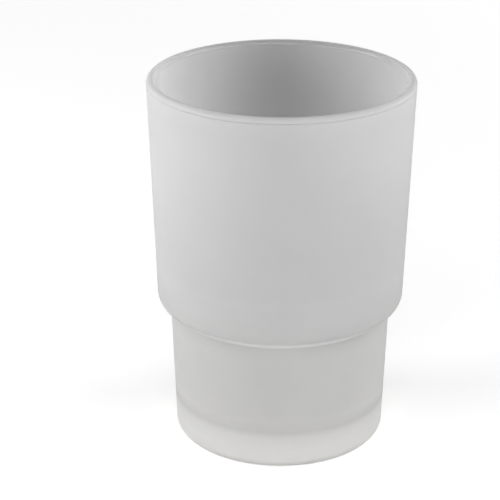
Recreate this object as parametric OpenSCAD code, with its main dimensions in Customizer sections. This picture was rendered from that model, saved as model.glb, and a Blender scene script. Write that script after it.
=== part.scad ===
// Bathroom tumbler: one piece of frosted glass, round about Z.
// It stands on a flat surface, or hangs by its ledge in the round ring of a wall holder.
// Millimetres. The origin is the centre of the foot, on the surface that the tumbler stands on.

/* [Lower body] */
// Outside diameter of the lower body just under the ledge, which drops through a holder's ring
neck_d = 59.2; // [52:0.1:70]
// How much smaller the lower body's radius is at the foot than under the ledge
lower_taper = 1.3; // [0.5:0.1:3]
// Radius of the round at the foot's outer edge
foot_round = 2.6; // [1:0.1:3.5]
// Thickness of the lower body's wall, measured level
lower_wall = 3; // [2:0.1:4]

/* [Ledge] */
// Height of the ledge's inner edge above the surface that the tumbler stands on
ledge_z = 36.6; // [28:0.1:45]
// Width of the ledge, from the lower body out to the upper body
ledge_width = 3.4; // [3.2:0.1:5]
// How much higher the ledge is at its outer edge, before that edge is rounded
ledge_rise = 0.9; // [0.8:0.1:1.6]
// Radius of the round from the ledge up to the upper body
shoulder_round = 4.2; // [2:0.1:4.2]
// Radius of the small fillet in the corner under the ledge
crease_round = 0.3; // [0.1:0.05:0.5]

/* [Upper body] */
// Height from the foot to the top of the rim
height = 100; // [80:1:130]
// How much larger the upper body's radius is at the rim than at the ledge
upper_taper = 2.2; // [0.5:0.1:4]
// Thickness of the upper body's wall, measured level
upper_wall = 2.6; // [2:0.1:3.5]

/* [Inside] */
// Thickness of the base, from the foot's plane to the inside floor
floor_t = 9; // [6:0.1:12]
// Radius of the corner between the floor and the inside wall
floor_round = 4; // [2:0.1:6]
// Height of the inside slope's lower end above the ledge
slope_foot_rise = 0.6; // [0.2:0.1:2]
// Height of the inside slope, which takes the wall from the lower to the upper body
slope_h = 10; // [8:0.1:13]
// Radius of the soft bends at both ends of the inside slope
slope_round = 14; // [4:0.5:20]

/* [Underside] */
// Diameter of the hollow under the base, at the foot's plane
hollow_d = 42; // [34:0.5:43]
// Depth of the hollow under the base
hollow_depth = 0.8; // [0.4:0.05:1.2]
// Width of the hollow's sloped edge
hollow_edge = 2; // [1.6:0.1:4]
// Radius of the bends at both ends of the hollow's sloped edge
hollow_round = 3; // [0.5:0.1:4]

/* [Hidden] */
// The lip's two rounds nearly meet: each takes this share of the wall
lip_round_share = 0.485;
// The piece that shapes a corner reaches this share of the corner's round from the round's centre
corner_reach_share = 1.1;
// How far a round's circle passes its corner's edges, so that it surely crosses them
round_overlap = 0.0005;
$fn = 144;

neck_r = neck_d / 2;
foot_r = neck_r - lower_taper;
shoulder_r = neck_r + ledge_width;
shoulder_z = ledge_z + ledge_rise;
rim_r = shoulder_r + upper_taper;
lip_round = upper_wall * lip_round_share;
slope_foot_z = ledge_z + slope_foot_rise;
slope_top_z = slope_foot_z + slope_h;

// Outside radius of the lower and of the upper body at height z
function lower_r(z) = foot_r + lower_taper * z / ledge_z;
function upper_r(z) = shoulder_r + upper_taper * (z - shoulder_z) / (height - shoulder_z);

// The glass on one side of the axis, anticlockwise: [radius, height, round of the corner]
outline = [
    [0, hollow_depth, 0],
    [hollow_d / 2 - hollow_edge, hollow_depth, hollow_round],
    [hollow_d / 2, 0, hollow_round],
    [foot_r, 0, foot_round],
    [neck_r, ledge_z, crease_round],
    [shoulder_r, shoulder_z, shoulder_round],
    [rim_r, height, lip_round],
    [rim_r - upper_wall, height, lip_round],
    [upper_r(slope_top_z) - upper_wall, slope_top_z, slope_round],
    [lower_r(slope_foot_z) - lower_wall, slope_foot_z, slope_round],
    [lower_r(floor_t) - lower_wall, floor_t, floor_round],
    [0, floor_t, 0],
];

// Corner i of the outline, the directions of its two edges, and the circle that rounds it
function corner(i) = [outline[i][0], outline[i][1]];
function direction(v) = v / norm(v);
function back(i) = direction(corner(i - 1) - corner(i));
function ahead(i) = direction(corner(i + 1) - corner(i));
function half_angle(i) = acos(back(i) * ahead(i)) / 2;
function centre(i) = corner(i) + direction(back(i) + ahead(i)) * outline[i][2] / sin(half_angle(i));
function edge_length(i) = outline[i][2] / tan(half_angle(i));
function sticks_out(i) = cross(back(i), ahead(i)) < 0;

// The ring of section between corner i and its circle, which is taken off or filled in
module corner_ring(i) {
    touch_points = [corner(i) + back(i) * edge_length(i), corner(i), corner(i) + ahead(i) * edge_length(i)];
    rotate_extrude()
        translate(centre(i))
            difference() {
                polygon([
                    [0, 0],
                    for (p = touch_points) (p - centre(i)) * corner_reach_share
                ]);
                circle(outline[i][2] + round_overlap);
            }
}

// The outline turned round the axis: corners that go in are filled, and corners that stick out come off
module tumbler() {
    rounded = [for (i = [0 : len(outline) - 1]) if (outline[i][2] > 0) i];
    color([0.87, 0.88, 0.88])
        difference() {
            union() {
                rotate_extrude()
                    polygon([for (p = outline) [p[0], p[1]]]);
                for (i = rounded)
                    if (!sticks_out(i))
                        corner_ring(i);
            }
            for (i = rounded)
                if (sticks_out(i))
                    corner_ring(i);
        }
}

tumbler();
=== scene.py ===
"""A frosted glass bathroom tumbler, standing on a plain pale studio floor."""

import logging
import math
from dataclasses import dataclass
from enum import Enum

import bpy
from mathutils import Matrix, Vector


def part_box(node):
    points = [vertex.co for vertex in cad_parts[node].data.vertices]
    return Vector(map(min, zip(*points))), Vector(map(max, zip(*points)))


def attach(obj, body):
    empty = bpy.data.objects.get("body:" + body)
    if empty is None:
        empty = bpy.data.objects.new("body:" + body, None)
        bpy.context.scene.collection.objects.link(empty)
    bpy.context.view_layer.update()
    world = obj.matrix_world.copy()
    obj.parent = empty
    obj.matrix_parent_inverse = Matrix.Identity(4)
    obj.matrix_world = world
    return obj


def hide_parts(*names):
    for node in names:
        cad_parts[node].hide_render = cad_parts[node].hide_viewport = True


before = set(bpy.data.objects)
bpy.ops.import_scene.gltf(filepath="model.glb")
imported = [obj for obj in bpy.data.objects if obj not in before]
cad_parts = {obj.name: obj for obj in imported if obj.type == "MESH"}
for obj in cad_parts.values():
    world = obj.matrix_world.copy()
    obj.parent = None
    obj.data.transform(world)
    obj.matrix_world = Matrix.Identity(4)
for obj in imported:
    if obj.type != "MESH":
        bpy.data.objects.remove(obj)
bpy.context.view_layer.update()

logging.basicConfig(level=logging.INFO, format="%(message)s")
log = logging.getLogger("tumbler")

MM = 0.001
ETCHED = 0.0
SMOOTH = 1.0
WHITE = (1.0, 1.0, 1.0, 1.0)


@dataclass(frozen=True)
class TintsAndPaintedLight:
    """How pale the glass is in each zone: its own paleness on the wall, painted light and shade
    in the other zones.

    Attributes:
        wall: The etched wall.
        shoulder: The round over the ledge, where the inside slope lies behind it, set darker as
            painted shade.
        crease: The tight crease under the ledge, set pale as the ledge's painted highlight.
        neck: The wall just under that crease, set darker as the ledge's painted shadow.
        waist: The lower wall just over the base, set a little paler as painted light.
        line: The edge where the thick base begins to show, set darker as a painted dark line.
        base: The thick base, set paler as painted light: the bright band that thick glass shows.
        foot: The foot's round, set paler as painted light.
        under_rim: The rim's groove and the wall just under it, set a little paler as painted
            light.
        rim: The rim's outer round, set paler as a painted highlight.
        rim_top: The rim's top, where the etching ends, set paler than the wall as painted light.
        lip: The rim's smooth inner round, set dark as painted shade.
        inside: The smooth inside just under the rim, set darker as painted shade.
        deep: The smooth inside further down, set paler as painted light.
    """

    wall: float = 0.675
    shoulder: float = 0.57
    crease: float = 0.94
    neck: float = 0.64
    waist: float = 0.695
    line: float = 0.60
    base: float = 0.725
    foot: float = 0.90
    under_rim: float = 0.7
    rim: float = 0.74
    rim_top: float = 0.70
    lip: float = 0.46
    inside: float = 0.69
    deep: float = 0.80


class Slot(Enum):
    """The record's material slot for the tumbler's glass; nothing in the script reads it."""

    GLASS = "frosted_glass"


@dataclass(frozen=True)
class Corner:
    """One corner of an outline that is turned round the axis.

    Attributes:
        radius: Distance from the axis, in metres.
        height: Height above the foot, in metres.
        round: Radius of the arc that rounds the corner, in metres.
        tint_and_painted_light: How pale the glass is there, as its own paleness or as painted
            light and shade.
        polish: 0 where the glass is etched, 1 where it kept the smooth surface of the press.
    """

    radius: float
    height: float
    round: float
    tint_and_painted_light: float
    polish: float = ETCHED


@dataclass(frozen=True)
class Stretch:
    """One stretch of a round, with its own finish.

    Attributes:
        share: The stretch's share of the whole round.
        tint_and_painted_light: How pale the glass is there, as its own paleness or as painted
            light and shade.
        polish: 0 where the glass is etched, 1 where it is smooth.
    """

    share: float
    tint_and_painted_light: float
    polish: float = ETCHED


def split_round(
    before: Vector, tip: Vector, after: Vector, radius: float, stretches: list[Stretch]
) -> list[Corner]:
    """Splits a rounded corner of an outline into stretches that each have their own finish.

    All stretches keep the round's centre and radius: tangents to it take the corner's place.

    Args:
        before: A point on the straight line that leads to the corner.
        tip: The corner itself.
        after: A point on the straight line that leads away.
        radius: Radius of the round, in metres.
        stretches: The stretches in their order along the outline.

    Returns:
        A corner for each stretch.
    """
    back = (before - tip).normalized()
    ahead = (after - tip).normalized()
    half = back.angle(ahead) / 2
    centre = tip + (back + ahead).normalized() * (radius / math.sin(half))
    start = tip + back * (radius / math.tan(half)) - centre
    end = tip + ahead * (radius / math.tan(half)) - centre
    sweep = (math.pi - 2 * half) * math.copysign(1.0, start.cross(end))
    angle = math.atan2(start.y, start.x)
    corners = []
    for stretch in stretches:
        turn = sweep * stretch.share
        reach = radius / math.cos(turn / 2)
        corners.append(
            Corner(
                centre.x + reach * math.cos(angle + turn / 2),
                centre.y + reach * math.sin(angle + turn / 2),
                radius,
                stretch.tint_and_painted_light,
                stretch.polish,
            )
        )
        angle += turn
    return corners


class Nodes:
    """A node tree with short calls to add a node and to join two sockets."""

    def __init__(self, tree: bpy.types.NodeTree) -> None:
        """Takes the tree that the nodes go into.

        Args:
            tree: A shader tree or a geometry tree.
        """
        self.tree = tree

    def add(self, kind: str, **settings: object) -> bpy.types.Node:
        """Adds a node.

        Args:
            kind: The node's type name.
            **settings: Properties of the node to set.

        Returns:
            The new node.
        """
        node = self.tree.nodes.new(kind)
        for name, value in settings.items():
            setattr(node, name, value)
        return node

    def join(self, source: bpy.types.NodeSocket, target: bpy.types.NodeSocket) -> None:
        """Links an output to an input.

        Args:
            source: The output socket.
            target: The input socket.
        """
        self.tree.links.new(source, target)

    def spread(
        self, noise: bpy.types.NodeSocket, middle: float, width: float
    ) -> bpy.types.NodeSocket:
        """Turns noise into values round a middle value.

        Args:
            noise: Noise from 0 to 1.
            middle: The middle value.
            width: How far the values go to either side.

        Returns:
            The socket with the values.
        """
        node = self.add("ShaderNodeMapRange")
        node.inputs["To Min"].default_value = middle - width
        node.inputs["To Max"].default_value = middle + width
        self.join(noise, node.inputs["Value"])
        return node.outputs["Result"]

    def blend(
        self,
        first: bpy.types.NodeSocket,
        second: float,
        share: bpy.types.NodeSocket,
    ) -> bpy.types.NodeSocket:
        """Blends a changing value into a fixed one.

        Args:
            first: The value where the share is 0.
            second: The value where the share is 1.
            share: The share of the second value.

        Returns:
            The socket with the blend.
        """
        node = self.add("ShaderNodeMix", data_type="FLOAT")
        node.inputs["B"].default_value = second
        self.join(first, node.inputs["A"])
        self.join(share, node.inputs["Factor"])
        return node.outputs["Result"]

    def attribute(self, name: str) -> bpy.types.NodeSocket:
        """Reads a number that the mesh carries.

        Args:
            name: The attribute's name.

        Returns:
            The socket with the number.
        """
        return self.add("ShaderNodeAttribute", attribute_name=name).outputs["Fac"]


@dataclass(frozen=True)
class FrostedGlass:
    """Glass that is etched outside, and smooth inside.

    Light wanders through it, so nothing shows clearly through it and thick glass glows a
    little. The mesh lays out the surface: its attribute "tint_and_painted_light" is the glass's
    paleness with painted light and shade, and
    "polish" is 1 where the glass is smooth.

    Attributes:
        tint_spread: How much the etched colour wanders over the surface.
        warmth: The faint warm colour that thick glass takes.
        warm_height: Height over the foot where that colour has faded out, in metres.
        clear_share: How much of the light goes straight through.
        milk: How much of the rest wanders in the glass instead of turning back at the surface,
            where it is etched.
        smooth_milk: The same where the surface is smooth.
        wander: How far light goes in the glass before it turns, in metres.
        etched_roughness: Middle roughness of the etched surface.
        smooth_roughness: Roughness of the smooth surface.
        roughness_spread: How far the roughness wanders over the surface.
        index: Refractive index of soda-lime glass.
        shine: How much of its mirror gloss the glass keeps.
        cloud_size: Size of the faint clouds in the etching, in metres.
        cloud_detail: How many finer layers the clouds have.
        grain_size: Size of the etched grain, in metres.
        grain_detail: How many finer layers the grain has.
        grain_depth: Depth of the etched grain, in metres.
    """

    tint_spread: float = 0.03
    warmth: tuple[float, float, float] = (1.0, 0.989, 0.963)
    warm_height: float = 45 * MM
    clear_share: float = 0.08
    milk: float = 0.5
    smooth_milk: float = 1.0
    wander: float = 40 * MM
    etched_roughness: float = 0.9
    smooth_roughness: float = 0.25
    roughness_spread: float = 0.03
    index: float = 1.52
    shine: float = 0.2
    cloud_size: float = 12 * MM
    cloud_detail: float = 3.0
    grain_size: float = 0.35 * MM
    grain_detail: float = 2.0
    grain_depth: float = 0.01 * MM

    def make(self) -> bpy.types.Material:
        """Builds the material.

        Returns:
            The frosted glass material.
        """
        material = bpy.data.materials.new("frosted_glass")
        material.use_nodes = True
        nodes = Nodes(material.node_tree)
        shader = material.node_tree.nodes["Principled BSDF"]
        shader.subsurface_method = "RANDOM_WALK"
        shader.inputs["Subsurface Radius"].default_value = (1.0, 1.0, 1.0)
        shader.inputs["Subsurface Scale"].default_value = self.wander
        shader.inputs["IOR"].default_value = self.index
        shader.inputs["Specular IOR Level"].default_value = self.shine
        shader.inputs["Transmission Weight"].default_value = self.clear_share
        place = nodes.add("ShaderNodeTexCoord").outputs["Object"]
        clouds = nodes.add("ShaderNodeTexNoise")
        clouds.inputs["Scale"].default_value = 1 / self.cloud_size
        clouds.inputs["Detail"].default_value = self.cloud_detail
        nodes.join(place, clouds.inputs["Vector"])
        fade = nodes.spread(clouds.outputs["Fac"], 1.0, self.tint_spread)
        # The mesh's paleness is painted light and shade in most zones; the clouds only vary it
        # at random.
        tint_and_painted_light = nodes.add("ShaderNodeMath", operation="MULTIPLY")
        nodes.join(nodes.attribute("tint_and_painted_light"), tint_and_painted_light.inputs[0])
        nodes.join(fade, tint_and_painted_light.inputs[1])
        colour = nodes.add("ShaderNodeVectorMath", operation="SCALE")
        nodes.join(self._warm(nodes, place), colour.inputs[0])
        nodes.join(tint_and_painted_light.outputs[0], colour.inputs["Scale"])
        nodes.join(colour.outputs["Vector"], shader.inputs["Base Color"])
        polish = nodes.attribute("polish")
        milk = nodes.spread(
            polish, (self.smooth_milk + self.milk) / 2, (self.smooth_milk - self.milk) / 2
        )
        nodes.join(milk, shader.inputs["Subsurface Weight"])
        etched = nodes.spread(
            clouds.outputs["Fac"], self.etched_roughness, self.roughness_spread
        )
        roughness = nodes.blend(etched, self.smooth_roughness, polish)
        nodes.join(roughness, shader.inputs["Roughness"])
        self._etch(nodes, shader, place, polish)
        return material

    def _warm(self, nodes: Nodes, place: bpy.types.NodeSocket) -> bpy.types.NodeSocket:
        """Gives the glass its faint colour, from neutral above to warm at the foot.

        Args:
            nodes: The material's nodes.
            place: The place on the piece.

        Returns:
            The socket with the colour.
        """
        parts = nodes.add("ShaderNodeSeparateXYZ")
        share = nodes.add("ShaderNodeMapRange")
        share.inputs["From Min"].default_value = self.warm_height
        share.inputs["From Max"].default_value = 0.0
        mix = nodes.add("ShaderNodeMix", data_type="RGBA")
        neutral, warm = [item for item in mix.inputs if item.type == "RGBA"]
        neutral.default_value = WHITE
        warm.default_value = (*self.warmth, 1.0)
        nodes.join(place, parts.inputs["Vector"])
        nodes.join(parts.outputs["Z"], share.inputs["Value"])
        nodes.join(share.outputs["Result"], mix.inputs["Factor"])
        return next(item for item in mix.outputs if item.type == "RGBA")

    def _etch(
        self,
        nodes: Nodes,
        shader: bpy.types.Node,
        place: bpy.types.NodeSocket,
        polish: bpy.types.NodeSocket,
    ) -> None:
        """Gives the etched surface its fine grain.

        Args:
            nodes: The material's nodes.
            shader: The surface shader.
            place: The place on the piece.
            polish: How smooth the surface is.
        """
        grain = nodes.add("ShaderNodeTexNoise")
        grain.inputs["Scale"].default_value = 1 / self.grain_size
        grain.inputs["Detail"].default_value = self.grain_detail
        bite = nodes.add("ShaderNodeMath", operation="SUBTRACT")
        bite.inputs[0].default_value = 1.0
        bump = nodes.add("ShaderNodeBump")
        bump.inputs["Distance"].default_value = self.grain_depth
        nodes.join(place, grain.inputs["Vector"])
        nodes.join(polish, bite.inputs[1])
        nodes.join(bite.outputs[0], bump.inputs["Strength"])
        nodes.join(grain.outputs["Fac"], bump.inputs["Height"])
        nodes.join(bump.outputs["Normal"], shader.inputs["Normal"])


@dataclass(frozen=True)
class PaleFloor:
    """The plain floor under the tumbler, which shows white and keeps a shadow.

    Attributes:
        size: Side of the square floor, in metres.
        shade: How light the floor's colour is.
        roughness: Roughness of the floor.
        lift: How much of white the floor shows by itself near the tumbler, where it is seen.
        lift_reach: How far from the tumbler it shows all of white by itself, in metres.
    """

    size: float = 6.0
    shade: float = 0.8
    roughness: float = 0.9
    lift: float = 0.46
    lift_reach: float = 1.05

    def build(self) -> bpy.types.Object:
        """Builds the floor.

        Returns:
            The floor, marked as part of the stage.
        """
        half = self.size / 2
        mesh = bpy.data.meshes.new("floor")
        mesh.from_pydata(
            [(-half, -half, 0), (half, -half, 0), (half, half, 0), (-half, half, 0)],
            [],
            [(0, 1, 2, 3)],
        )
        floor = bpy.data.objects.new("floor", mesh)
        bpy.context.scene.collection.objects.link(floor)
        floor.data.materials.append(self._material())
        return floor

    def _material(self) -> bpy.types.Material:
        """Builds the floor's material.

        Returns:
            A matt pale material that shows lighter where it is seen, and lights nothing.
        """
        material = bpy.data.materials.new("pale_floor")
        material.use_nodes = True
        nodes = Nodes(material.node_tree)
        shader = material.node_tree.nodes["Principled BSDF"]
        shader.inputs["Base Color"].default_value = (self.shade,) * 3 + (1.0,)
        shader.inputs["Roughness"].default_value = self.roughness
        shader.inputs["Specular IOR Level"].default_value = 0.0
        shader.inputs["Emission Color"].default_value = WHITE
        place = nodes.add("ShaderNodeTexCoord").outputs["Object"]
        away = nodes.add("ShaderNodeVectorMath", operation="LENGTH")
        level = nodes.add("ShaderNodeMapRange")
        level.inputs["From Max"].default_value = self.lift_reach
        level.inputs["To Min"].default_value = self.lift
        lift = nodes.add("ShaderNodeMath", operation="MULTIPLY")
        nodes.join(place, away.inputs[0])
        nodes.join(away.outputs["Value"], level.inputs["Value"])
        nodes.join(seen_rays(nodes), lift.inputs[0])
        nodes.join(level.outputs["Result"], lift.inputs[1])
        nodes.join(lift.outputs[0], shader.inputs["Emission Strength"])
        return material


def seen_rays(nodes: Nodes) -> bpy.types.NodeSocket:
    """Adds the test for rays that show a thing: from the camera, in gloss and through glass.

    Args:
        nodes: The tree that the test goes into.

    Returns:
        A socket that is 1 for such rays, and 0 for the rays that light other things.
    """
    path = nodes.add("ShaderNodeLightPath")
    seen = path.outputs["Is Camera Ray"]
    for kind in ("Is Glossy Ray", "Is Transmission Ray"):
        either = nodes.add("ShaderNodeMath", operation="MAXIMUM")
        nodes.join(seen, either.inputs[0])
        nodes.join(path.outputs[kind], either.inputs[1])
        seen = either.outputs[0]
    return seen


@dataclass(frozen=True)
class SoftBox:
    """A soft lamp that points at the tumbler.

    Attributes:
        name: Name of the lamp.
        place: Where the lamp stands, in metres.
        width: Width of the lamp's face, in metres.
        height: Height of the lamp's face, in metres.
        power: Power of the lamp, in watts.
        aim: The point that the lamp faces, in metres.
    """

    name: str
    place: tuple[float, float, float]
    width: float
    height: float
    power: float
    aim: tuple[float, float, float] = (0.0, 0.0, 0.05)

    def build(self) -> bpy.types.Object:
        """Builds the lamp.

        Returns:
            The lamp.
        """
        light = bpy.data.lights.new(self.name, "AREA")
        light.shape = "RECTANGLE"
        light.size = self.width
        light.size_y = self.height
        light.energy = self.power
        lamp = bpy.data.objects.new(self.name, light)
        lamp.location = self.place
        towards = Vector(self.aim) - Vector(self.place)
        lamp.rotation_euler = towards.to_track_quat("-Z", "Y").to_euler()
        lamp.visible_camera = False
        bpy.context.scene.collection.objects.link(lamp)
        return lamp


@dataclass(frozen=True)
class Studio:
    """The room round the tumbler: the floor, the lamps and a plain white surrounding.

    Attributes:
        floor: The floor.
        lamps: Two large soft lamps, and three small ones nearer to the tumbler.
    """

    floor: PaleFloor = PaleFloor()
    lamps: tuple[SoftBox, ...] = (
        SoftBox("front_softbox", (0.0, -0.996, 0.836), width=0.8, height=0.8, power=3.98),
        SoftBox("right_softbox", (0.996, 0.0, 0.836), width=0.8, height=0.8, power=7.25),
        SoftBox("left_card", (-0.369, 0.0, 0.258), width=0.16, height=0.16, power=0.77),
        SoftBox("left_front_card", (-0.307, -0.307, 0.116), width=0.16, height=0.16, power=0.66),
        SoftBox("right_front_card", (0.307, -0.307, 0.116), width=0.16, height=0.16, power=0.58),
    )

    def build(self) -> None:
        """Builds the floor, the lamps and the world."""
        scene = bpy.context.scene
        scene.view_settings.view_transform = "Standard"
        self.floor.build()
        for lamp in self.lamps:
            lamp.build()
        self._surround(scene)

    def _surround(self, scene: bpy.types.Scene) -> None:
        """Makes the world, which is white where it is seen and lights nothing.

        Args:
            scene: The scene that gets the world.
        """
        world = bpy.data.worlds.new("studio_surround")
        world.use_nodes = True
        scene.world = world
        nodes = Nodes(world.node_tree)
        background = world.node_tree.nodes["Background"]
        background.inputs["Color"].default_value = WHITE
        nodes.join(seen_rays(nodes), background.inputs["Strength"])


@dataclass(frozen=True)
class PhotoCamera:
    """The camera of the photograph, solved from the tumbler's outline.

    Attributes:
        distance: How far in front of the axis the camera stands, in metres.
        height: Height of the camera above the floor, in metres.
        turn: How far the camera turns to the right, in radians.
        tilt: How far the camera looks down, in radians.
        roll: How far the camera leans to the right, in radians.
        lens: Focal length of the lens, in millimetres.
        sensor: Width of the sensor, in millimetres.
        nearest: How near to the camera things still show, in metres.
        farthest: How far from the camera things still show, in metres.
    """

    distance: float = 0.46575
    height: float = 0.24468
    turn: float = -0.0175
    tilt: float = 0.3938
    roll: float = -0.0012
    lens: float = 134.99
    sensor: float = 36.0
    nearest: float = 0.01
    farthest: float = 100.0

    def build(self) -> bpy.types.Object:
        """Builds the camera and makes it the scene's own.

        Returns:
            The camera.
        """
        data = bpy.data.cameras.new("photo_camera")
        data.sensor_width = self.sensor
        data.lens = self.lens
        data.clip_start = self.nearest
        data.clip_end = self.farthest
        camera = bpy.data.objects.new("photo_camera", data)
        bpy.context.scene.collection.objects.link(camera)
        forward = Vector(
            (
                math.sin(self.turn) * math.cos(self.tilt),
                math.cos(self.turn) * math.cos(self.tilt),
                -math.sin(self.tilt),
            )
        )
        level_right = Vector((math.cos(self.turn), -math.sin(self.turn), 0.0))
        level_up = level_right.cross(forward)
        right = math.cos(self.roll) * level_right - math.sin(self.roll) * level_up
        up = math.cos(self.roll) * level_up + math.sin(self.roll) * level_right
        axes = Matrix((right, up, -forward)).transposed()
        place = Matrix.Translation((0.0, -self.distance, self.height))
        camera.matrix_world = place @ axes.to_4x4()
        bpy.context.scene.camera = camera
        return camera


@dataclass(frozen=True)
class TurningTree:
    """Geometry nodes that turn an outline round the upright axis.

    Attributes:
        ring: Radius of the ring that carries the outline round, in metres.
        steps_round: How many steps the turn takes.
        arc_steps: How many steps each rounded corner takes.
        weld: Points closer than this are made one, in metres.
    """

    ring: float = 0.1
    steps_round: int = 288
    arc_steps: int = 12
    weld: float = 0.001 * MM

    def turn(
        self, name: str, corners: list[Corner], material: bpy.types.Material
    ) -> bpy.types.Object:
        """Turns an outline and gives the result as a plain mesh object.

        Args:
            name: Name of the finished piece.
            corners: The outline, from the axis round to the axis again.
            material: The material of the finished piece.

        Returns:
            The finished piece.
        """
        carrier = self._outline(name + "_outline", corners)
        modifier = carrier.modifiers.new("turning", "NODES")
        modifier.node_group = self._tree()
        values = {
            "Ring": self.ring,
            "Steps Round": self.steps_round,
            "Arc Steps": self.arc_steps,
            "Weld": self.weld,
            "Material": material,
        }
        for item in modifier.node_group.interface.items_tree:
            if item.name in values:
                modifier[item.identifier] = values[item.name]
        turned = carrier.evaluated_get(bpy.context.evaluated_depsgraph_get())
        piece = bpy.data.objects.new(name, bpy.data.meshes.new_from_object(turned))
        piece.data.name = name
        bpy.context.scene.collection.objects.link(piece)
        bpy.data.objects.remove(carrier)
        return piece

    def _outline(self, name: str, corners: list[Corner]) -> bpy.types.Object:
        """Draws the outline as a chain of edges, with each corner's other numbers.

        Args:
            name: Name of the object.
            corners: The outline's corners.

        Returns:
            An object with the outline in its X and Y: X is the radius and Y the height.
        """
        mesh = bpy.data.meshes.new(name)
        mesh.from_pydata(
            [(corner.radius, corner.height, 0.0) for corner in corners],
            [(i, i + 1) for i in range(len(corners) - 1)],
            [],
        )
        for part in ("round", "tint_and_painted_light", "polish"):
            values = [getattr(corner, part) for corner in corners]
            mesh.attributes.new(part, "FLOAT", "POINT").data.foreach_set("value", values)
        carrier = bpy.data.objects.new(name, mesh)
        bpy.context.scene.collection.objects.link(carrier)
        return carrier

    def _tree(self) -> bpy.types.NodeTree:
        """Builds the node tree.

        Returns:
            The tree, with an input for each of its sizes.
        """
        tree = bpy.data.node_groups.new("turning", "GeometryNodeTree")
        for name, kind in (
            ("Outline", "Geometry"),
            ("Ring", "Float"),
            ("Steps Round", "Int"),
            ("Arc Steps", "Int"),
            ("Weld", "Float"),
            ("Material", "Material"),
        ):
            tree.interface.new_socket(name, in_out="INPUT", socket_type="NodeSocket" + kind)
        tree.interface.new_socket("Turned", in_out="OUTPUT", socket_type="NodeSocketGeometry")
        nodes = Nodes(tree)
        given = nodes.add("NodeGroupInput").outputs
        result = nodes.add("NodeGroupOutput").inputs

        line = nodes.add("GeometryNodeMeshToCurve")
        round_of = nodes.add("GeometryNodeInputNamedAttribute", data_type="FLOAT")
        round_of.inputs["Name"].default_value = "round"
        arcs = nodes.add("GeometryNodeFilletCurve", mode="POLY")
        nodes.join(given["Outline"], line.inputs["Mesh"])
        nodes.join(line.outputs["Curve"], arcs.inputs["Curve"])
        nodes.join(round_of.outputs["Attribute"], arcs.inputs["Radius"])
        nodes.join(given["Arc Steps"], arcs.inputs["Count"])

        inwards = nodes.add("ShaderNodeMath", operation="MULTIPLY")
        inwards.inputs[1].default_value = -1.0
        shift = nodes.add("ShaderNodeCombineXYZ")
        stand = nodes.add("GeometryNodeTransform")
        stand.inputs["Rotation"].default_value = (math.pi, 0.0, 0.0)
        nodes.join(given["Ring"], inwards.inputs[0])
        nodes.join(inwards.outputs[0], shift.inputs["X"])
        nodes.join(shift.outputs["Vector"], stand.inputs["Translation"])
        nodes.join(arcs.outputs["Curve"], stand.inputs["Geometry"])

        ring = nodes.add("GeometryNodeCurvePrimitiveCircle", mode="RADIUS")
        sweep = nodes.add("GeometryNodeCurveToMesh")
        nodes.join(given["Ring"], ring.inputs["Radius"])
        nodes.join(given["Steps Round"], ring.inputs["Resolution"])
        nodes.join(ring.outputs["Curve"], sweep.inputs["Curve"])
        nodes.join(stand.outputs["Geometry"], sweep.inputs["Profile Curve"])

        outwards = nodes.add("GeometryNodeFlipFaces")
        weld = nodes.add("GeometryNodeMergeByDistance")
        smooth = nodes.add("GeometryNodeSetShadeSmooth")
        real = nodes.add("GeometryNodeRealizeInstances")
        dress = nodes.add("GeometryNodeSetMaterial")
        nodes.join(sweep.outputs["Mesh"], outwards.inputs["Mesh"])
        nodes.join(outwards.outputs["Mesh"], weld.inputs["Geometry"])
        nodes.join(given["Weld"], weld.inputs["Distance"])
        nodes.join(weld.outputs["Geometry"], smooth.inputs["Geometry"])
        nodes.join(smooth.outputs["Geometry"], real.inputs["Geometry"])
        nodes.join(real.outputs["Geometry"], dress.inputs["Geometry"])
        nodes.join(given["Material"], dress.inputs["Material"])
        nodes.join(dress.outputs["Geometry"], result["Turned"])
        return tree


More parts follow.
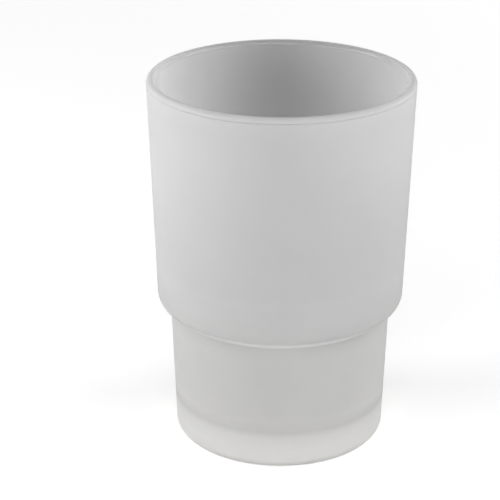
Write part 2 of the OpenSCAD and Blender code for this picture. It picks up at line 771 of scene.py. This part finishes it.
@dataclass(frozen=True)
class Tumbler:
    """The glass: a lower body, a ledge, an upper body and the hollow inside, in one outline.

    Attributes:
        height: Height of the rim, in metres.
        neck_radius: Outside radius just under the ledge, in metres.
        lower_taper: How much smaller the radius is at the foot, in metres.
        foot_round: Round of the foot's outer edge, in metres.
        lower_wall: Thickness of the lower body's wall, in metres.
        ledge_height: Height of the ledge's inner edge, in metres.
        ledge_width: Width of the ledge, in metres.
        ledge_rise: How much higher the ledge is at its outer edge, in metres.
        shoulder_round: Round from the ledge up to the upper body, in metres.
        crease_round: Fillet in the corner under the ledge, in metres.
        upper_taper: How much larger the radius is at the rim than at the ledge, in metres.
        upper_wall: Thickness of the upper body's wall, in metres.
        lip_share: Radius of each of the rim's two rounds, as a share of the wall.
        floor_thickness: Thickness of the base, in metres.
        floor_round: Corner between the inside floor and wall, in metres.
        slope_foot_rise: Height of the inside slope's lower end above the ledge, in metres.
        slope_height: Height of the inside slope, in metres.
        slope_round: Soft bends at both ends of the inside slope, in metres.
        hollow_radius: Radius of the hollow under the base, in metres.
        hollow_depth: Depth of that hollow, in metres.
        hollow_edge: Width of that hollow's sloped edge, in metres.
        hollow_round: Bends at both ends of that sloped edge, in metres.
        base_edge_fade: Height over which the thick base's painted light fades out, in metres.
        line_fade: Height over which the edge's painted dark line fades into the wall, in metres.
        crease_highlight: Height of the painted highlight under the crease, in metres.
        neck_fade: Height over which the painted shadow under the crease fades, in metres.
        slope_blend: How far past the inside slope the shoulder's painted shade fades into the
            wall, in metres.
        under_share: Share of the shoulder's round that the crease's painted highlight covers.
        crease_highlight_fade: Share of that round over which the painted highlight then fades
            out.
        etch_end: Share of the rim's inner round over which the etching ends.
        etch_end_polish: How smooth the glass is there.
        lip_fade: Share of the inner round over which the lip's painted shade fades into the
            inside's.
        under_rim_painted_light: Height over which the painted light under the rim fades, in
            metres.
        inside_fade: Height over which the inside's painted shade at the rim fades, in metres.
        groove_drop: How far under the top of the rim its faint groove lies, in metres.
        groove_half: Half the groove's height, in metres.
        groove_depth: Depth of the groove, in metres.
        groove_round: Round of the groove's edges, in metres.
        tints_and_painted_light: How pale the glass is in each zone, with painted light and
            shade.
    """

    height: float
    neck_radius: float = 29.6 * MM
    lower_taper: float = 1.3 * MM
    foot_round: float = 2.6 * MM
    lower_wall: float = 3.0 * MM
    ledge_height: float = 36.6 * MM
    ledge_width: float = 3.4 * MM
    ledge_rise: float = 0.9 * MM
    shoulder_round: float = 4.2 * MM
    crease_round: float = 0.3 * MM
    upper_taper: float = 2.2 * MM
    upper_wall: float = 2.6 * MM
    lip_share: float = 0.485
    floor_thickness: float = 9.0 * MM
    floor_round: float = 4.0 * MM
    slope_foot_rise: float = 0.6 * MM
    slope_height: float = 10.0 * MM
    slope_round: float = 14.0 * MM
    hollow_radius: float = 21.0 * MM
    hollow_depth: float = 0.8 * MM
    hollow_edge: float = 2.0 * MM
    hollow_round: float = 3.0 * MM
    base_edge_fade: float = 1.9 * MM
    line_fade: float = 3.0 * MM
    crease_highlight: float = 0.8 * MM
    neck_fade: float = 4.0 * MM
    slope_blend: float = 2.0 * MM
    under_share: float = 0.38
    crease_highlight_fade: float = 0.12
    etch_end: float = 0.25
    etch_end_polish: float = 0.2
    lip_fade: float = 0.25
    under_rim_painted_light: float = 4.0 * MM
    inside_fade: float = 17.0 * MM
    groove_drop: float = 1.6 * MM
    groove_half: float = 0.3 * MM
    groove_depth: float = 0.06 * MM
    groove_round: float = 0.5 * MM
    tints_and_painted_light: TintsAndPaintedLight = TintsAndPaintedLight()

    def build(self, glass: FrostedGlass) -> bpy.types.Object:
        """Turns the outline, and puts the piece in the CAD solid's place.

        Args:
            glass: The finish.

        Returns:
            The finished piece.
        """
        piece = TurningTree().turn("tumbler_glass", self.outline(), glass.make())
        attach(piece, "root")
        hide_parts("tumbler")
        return piece

    def outline(self) -> list[Corner]:
        """Gives the section of the glass on one side of the axis.

        Returns:
            The corners, from the axis under the base, up the outside, and down the inside.
        """
        slope_foot = self.ledge_height + self.slope_foot_rise
        slope_top = slope_foot + self.slope_height
        foot_radius = self.neck_radius - self.lower_taper
        hollow_floor = self.hollow_radius - self.hollow_edge
        base_edge = self.floor_thickness
        line = base_edge + self.base_edge_fade
        line_end = line + self.line_fade
        crease_start = self.ledge_height - self.crease_highlight
        neck_end = crease_start - self.neck_fade
        slope_shows = slope_top + self.slope_blend
        groove = self.height - self.groove_drop
        groove_top = groove + self.groove_half
        groove_foot = groove - self.groove_half
        under_rim_light_end = groove_foot - self.under_rim_painted_light
        deep_start = groove_top - self.inside_fade
        tints_and_painted_light = self.tints_and_painted_light
        return [
            # Painted light and shade: the base and foot are set paler, a dark line is painted at
            # the base's edge, and the waist is a little paler.
            Corner(0.0, self.hollow_depth, 0.0, tints_and_painted_light.base),
            Corner(hollow_floor, self.hollow_depth, self.hollow_round, tints_and_painted_light.base),
            Corner(self.hollow_radius, 0.0, self.hollow_round, tints_and_painted_light.base),
            Corner(foot_radius, 0.0, self.foot_round, tints_and_painted_light.foot),
            Corner(self.lower_outside(base_edge), base_edge, 0.0, tints_and_painted_light.base),
            Corner(self.lower_outside(line), line, 0.0, tints_and_painted_light.line),
            Corner(self.lower_outside(line_end), line_end, 0.0, tints_and_painted_light.waist),
            Corner(self.lower_outside(neck_end), neck_end, 0.0, tints_and_painted_light.wall),
            # Painted shadow: the wall under the ledge is set darker.
            Corner(self.lower_outside(crease_start), crease_start, 0.0, tints_and_painted_light.neck),
            # Painted highlight: the crease is set pale to give the bright line under the ledge.
            Corner(self.neck_radius, self.ledge_height, self.crease_round, tints_and_painted_light.crease),
            *self._shoulder(),
            Corner(self.upper_outside(slope_shows), slope_shows, 0.0, tints_and_painted_light.wall),
            Corner(self.upper_outside(under_rim_light_end), under_rim_light_end, 0.0, tints_and_painted_light.wall),
            # Painted light: the groove and the wall under it are set a little paler, and the rim
            # paler still as a painted highlight.
            Corner(
                self.upper_outside(groove_foot),
                groove_foot,
                self.groove_round,
                tints_and_painted_light.under_rim,
            ),
            Corner(
                self.upper_outside(groove) - self.groove_depth,
                groove,
                self.groove_round,
                tints_and_painted_light.under_rim,
            ),
            Corner(self.upper_outside(groove_top), groove_top, 0.0, tints_and_painted_light.rim),
            *self._rim(),
            # The smooth inside is painted darker near the rim as shade, and paler further down
            # as painted light.
            Corner(self.upper_inside(groove_top), groove_top, 0.0, tints_and_painted_light.inside, SMOOTH),
            Corner(self.upper_inside(deep_start), deep_start, 0.0, tints_and_painted_light.deep, SMOOTH),
            Corner(
                self.upper_inside(slope_top),
                slope_top,
                self.slope_round,
                tints_and_painted_light.deep,
                SMOOTH,
            ),
            Corner(
                self.lower_inside(slope_foot),
                slope_foot,
                self.slope_round,
                tints_and_painted_light.deep,
                SMOOTH,
            ),
            Corner(
                self.lower_inside(self.floor_thickness),
                self.floor_thickness,
                self.floor_round,
                tints_and_painted_light.deep,
                SMOOTH,
            ),
            Corner(0.0, self.floor_thickness, 0.0, tints_and_painted_light.deep, SMOOTH),
        ]

    def _shoulder(self) -> list[Corner]:
        """Gives the shoulder's round, with the crease's painted highlight on its underside and
        painted shade above it.

        Returns:
            The corners, from the ledge up to the wall.
        """
        tints_and_painted_light = self.tints_and_painted_light
        return split_round(
            Vector((self.neck_radius, self.ledge_height)),
            Vector((self.neck_radius + self.ledge_width, self.ledge_height + self.ledge_rise)),
            Vector((self.upper_outside(self.height), self.height)),
            self.shoulder_round,
            [
                # The crease's painted highlight runs up the round's underside, then fades into
                # the shoulder's painted shade.
                Stretch(self.under_share, tints_and_painted_light.crease),
                Stretch(self.crease_highlight_fade, (tints_and_painted_light.crease + tints_and_painted_light.shoulder) / 2),
                # Painted shade over the rest of the shoulder's round.
                Stretch(1 - self.under_share - self.crease_highlight_fade, tints_and_painted_light.shoulder),
            ],
        )

    def _rim(self) -> list[Corner]:
        """Gives the rim's two rounds, where the etching ends and the smooth glass begins; the
        outer round is painted paler as a highlight, the inner round darker as painted shade.

        Returns:
            The corners, from the outer wall over the rim down to the inner wall.
        """
        tints_and_painted_light = self.tints_and_painted_light
        top_round = self.upper_wall * self.lip_share
        outer = Vector((self.upper_outside(self.height), self.height))
        inner = Vector((self.upper_inside(self.height), self.height))
        outer_foot = Vector((self.upper_outside(0.0), 0.0))
        inner_foot = Vector((self.upper_inside(0.0), 0.0))
        # Painted shade: the lip is set dark, fading into the inside's painted shade.
        lip_inside_painted_shade = (tints_and_painted_light.lip + tints_and_painted_light.inside) / 2
        return [
            *split_round(outer_foot, outer, inner, top_round, [Stretch(1.0, tints_and_painted_light.rim)]),
            *split_round(
                outer,
                inner,
                inner_foot,
                top_round,
                [
                    Stretch(self.etch_end, tints_and_painted_light.rim_top, self.etch_end_polish),
                    Stretch(1 - self.etch_end - self.lip_fade, tints_and_painted_light.lip, SMOOTH),
                    Stretch(self.lip_fade, lip_inside_painted_shade, SMOOTH),
                ],
            ),
        ]

    def upper_outside(self, z: float) -> float:
        """Gives the upper body's outside radius.

        Args:
            z: Height, in metres.

        Returns:
            The outside radius at that height, in metres.
        """
        shoulder_z = self.ledge_height + self.ledge_rise
        share = (z - shoulder_z) / (self.height - shoulder_z)
        return self.neck_radius + self.ledge_width + self.upper_taper * share

    def lower_outside(self, z: float) -> float:
        """Gives the lower body's outside radius.

        Args:
            z: Height, in metres.

        Returns:
            The outside radius at that height, in metres.
        """
        return self.neck_radius - self.lower_taper * (1 - z / self.ledge_height)

    def upper_inside(self, z: float) -> float:
        """Gives the upper body's inside radius at height z."""
        return self.upper_outside(z) - self.upper_wall

    def lower_inside(self, z: float) -> float:
        """Gives the lower body's inside radius at height z."""
        return self.lower_outside(z) - self.lower_wall


def main() -> None:
    """Builds the camera, the studio and the tumbler, and reports each piece."""
    camera = PhotoCamera().build()
    log.info("camera: %.0f mm lens", camera.data.lens)
    studio = Studio()
    studio.build()
    log.info("studio: a floor and %d lamps", len(studio.lamps))
    low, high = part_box("tumbler")
    piece = Tumbler(height=high.z - low.z).build(FrostedGlass())
    log.info("%s: %d faces", piece.name, len(piece.data.polygons))


if __name__ == "__main__":
    main()
